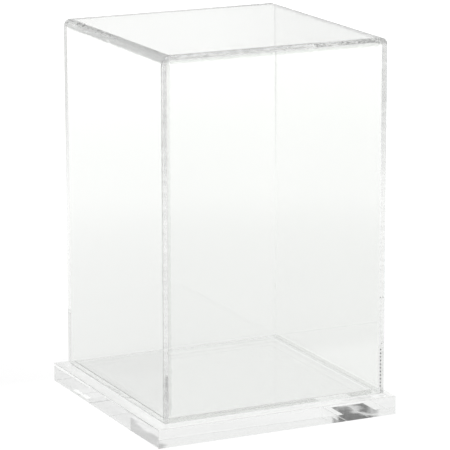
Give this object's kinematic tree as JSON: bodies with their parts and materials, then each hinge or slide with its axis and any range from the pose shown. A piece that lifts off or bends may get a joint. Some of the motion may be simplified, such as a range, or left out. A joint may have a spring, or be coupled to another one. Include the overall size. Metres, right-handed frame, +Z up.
{
  "type": "display case",
  "caption": "Tall clear acrylic display case for a football: a lift-off cover with rounded upper side edges over a riser on a thick square base.",
  "frame": {"origin": "middle of the base plate's underside", "axes": "+Z up, +X to the right and -Y towards the front panel"},
  "size_m": [0.22, 0.22, 0.3208],
  "materials": {
    "base_acrylic": "polished clear cast acrylic",
    "riser_acrylic": "polished clear cast acrylic",
    "cover_acrylic": "polished clear acrylic sheet"
  },
  "bodies": {
    "base": {"base_plate": "base_acrylic", "riser_plate": "riser_acrylic"},
    "cover": {"cover_wrap": "cover_acrylic", "cover_front_panel": "cover_acrylic", "cover_back_panel": "cover_acrylic"}
  },
  "joints": [
    {"name": "cover_lift", "type": "slide", "parent": "base", "child": "cover", "axis": [0, 0, 1], "range_m": [0, 0.32]}
  ]
}
